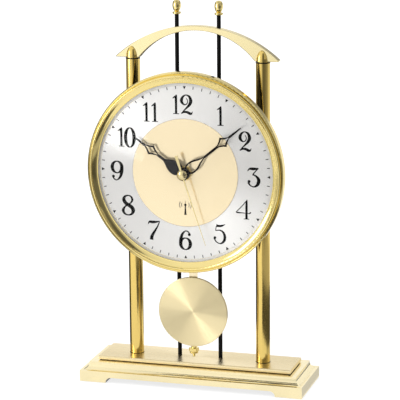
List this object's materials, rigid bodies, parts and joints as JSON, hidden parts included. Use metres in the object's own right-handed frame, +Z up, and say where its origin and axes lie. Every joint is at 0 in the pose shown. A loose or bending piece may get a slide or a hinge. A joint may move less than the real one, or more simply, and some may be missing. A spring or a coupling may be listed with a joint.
{
  "type": "desk pendulum clock",
  "caption": "Desk clock: a round dial under domed glass, held on columns below an arched crosspiece, on a moulded base, with a disc pendulum that swings below the dial.",
  "frame": {"origin": "on the table, under the middle of the clock's overall box", "axes": "+Z up, -Y towards the viewer, +X to the viewer's right"},
  "size_m": [0.19, 0.0858, 0.3173],
  "materials": {
    "polished_brass": "polished",
    "brushed_brass": "brushed",
    "gold_anodised": "satin",
    "pale_gold": "satin",
    "black_enamel": "gloss",
    "dial_silver": "satin",
    "dial_champagne": "satin",
    "clear_glass": "clear",
    "steel": "plain",
    "turned_brass": "turned",
    "black_plastic": "moulded",
    "white_plastic": "moulded",
    "copper_wire": "wound",
    "ferrite": "sintered",
    "board_green": "lacquered",
    "battery_jacket": "plain jacket",
    "grey_plastic": "moulded",
    "felt": "felt"
  },
  "bodies": {
    "stand": {"antenna_coil": "copper_wire", "antenna_core": "ferrite", "arch": "pale_gold", "arch_studs": "steel", "base_plinth": "polished_brass", "base_top_plate": "brushed_brass", "battery": "battery_jacket", "battery_contact_negative": "steel", "battery_contact_positive": "steel", "bezel": "polished_brass", "case_drum": "black_enamel", "case_screws": "steel", "centre_bush": "turned_brass", "circuit_board": "board_green", "column_finial_left": "gold_anodised", "column_finial_right": "gold_anodised", "column_left": "gold_anodised", "column_right": "gold_anodised", "column_screws": "steel", "control_chip": "black_plastic", "dial_centre": "dial_champagne", "dial_nut": "turned_brass", "dial_plate": "dial_silver", "drive_coil": "copper_wire", "foot_pads": "felt", "glass": "clear_glass", "motor_coils": "copper_wire", "motor_stators": "steel", "movement_cover": "black_plastic", "movement_tray": "black_plastic", "pivot_pin": "steel", "quartz_crystal": "steel", "reflector_ring": "polished_brass", "rod_finial_left": "polished_brass", "rod_finial_right": "polished_brass", "rod_left": "black_enamel", "rod_right": "black_enamel", "train_arbors": "steel"},
    "pendulum": {"pendulum_lever": "steel", "drive_magnet": "ferrite", "pendulum_strip": "brushed_brass", "pendulum_bob": "brushed_brass", "rating_nut": "polished_brass"},
    "hour": {"hour_hand": "black_enamel", "hour_wheel": "white_plastic"},
    "minute": {"minute_hand": "black_enamel", "minute_wheel": "white_plastic"},
    "second": {"second_hand": "polished_brass", "second_wheel": "white_plastic"},
    "motion": {"motion_wheel": "white_plastic"},
    "minute_idler": {"minute_idler": "white_plastic"},
    "minute_rotor": {"minute_rotor": "ferrite"},
    "second_idler": {"second_idler": "white_plastic"},
    "second_rotor": {"second_rotor": "ferrite"},
    "set_button": {"set_button": "grey_plastic"},
    "reset_button": {"reset_button": "grey_plastic"}
  },
  "joints": [
    {"name": "pendulum_swing", "type": "hinge", "parent": "stand", "child": "pendulum", "pos_m": [0, -0.00542, 0.1974], "axis": [0, 1, 0], "range_deg": [-6, 6]},
    {"name": "minute_turn", "type": "hinge", "parent": "stand", "child": "minute", "pos_m": [0, -0.02542, 0.1834], "axis": [0, 1, 0], "continuous": true},
    {"name": "hour_turn", "type": "hinge", "parent": "stand", "child": "hour", "pos_m": [0, -0.02542, 0.1834], "axis": [0, 1, 0], "continuous": true},
    {"name": "motion_turn", "type": "hinge", "parent": "stand", "child": "motion", "pos_m": [0, -0.02542, 0.1934], "axis": [0, 1, 0], "continuous": true},
    {"name": "minute_idler_turn", "type": "hinge", "parent": "stand", "child": "minute_idler", "pos_m": [-0.00987, -0.02542, 0.18699], "axis": [0, 1, 0], "continuous": true},
    {"name": "minute_rotor_turn", "type": "hinge", "parent": "stand", "child": "minute_rotor", "pos_m": [-0.01737, -0.02542, 0.18699], "axis": [0, 1, 0], "continuous": true},
    {"name": "second_turn", "type": "hinge", "parent": "stand", "child": "second", "pos_m": [0, -0.02542, 0.1834], "axis": [0, 1, 0], "continuous": true},
    {"name": "second_idler_turn", "type": "hinge", "parent": "stand", "child": "second_idler", "pos_m": [0.00987, -0.02542, 0.18699], "axis": [0, 1, 0], "continuous": true},
    {"name": "second_rotor_turn", "type": "hinge", "parent": "stand", "child": "second_rotor", "pos_m": [0.01737, -0.02542, 0.18699], "axis": [0, 1, 0], "continuous": true},
    {"name": "set_button_press", "type": "slide", "parent": "stand", "child": "set_button", "axis": [0, -1, 0], "range_m": [0, 0.0006], "stiffness_N_per_m": 400},
    {"name": "reset_button_press", "type": "slide", "parent": "stand", "child": "reset_button", "axis": [0, -1, 0], "range_m": [0, 0.0006], "stiffness_N_per_m": 400}
  ],
  "couplings": [
    {"joint": "hour_turn", "follows": "minute_turn", "ratio": 0.083333},
    {"joint": "motion_turn", "follows": "minute_turn", "ratio": -0.33333},
    {"joint": "minute_idler_turn", "follows": "minute_turn", "ratio": -6},
    {"joint": "minute_rotor_turn", "follows": "minute_turn", "ratio": 30},
    {"joint": "second_idler_turn", "follows": "second_turn", "ratio": -6},
    {"joint": "second_rotor_turn", "follows": "second_turn", "ratio": 30}
  ]
}
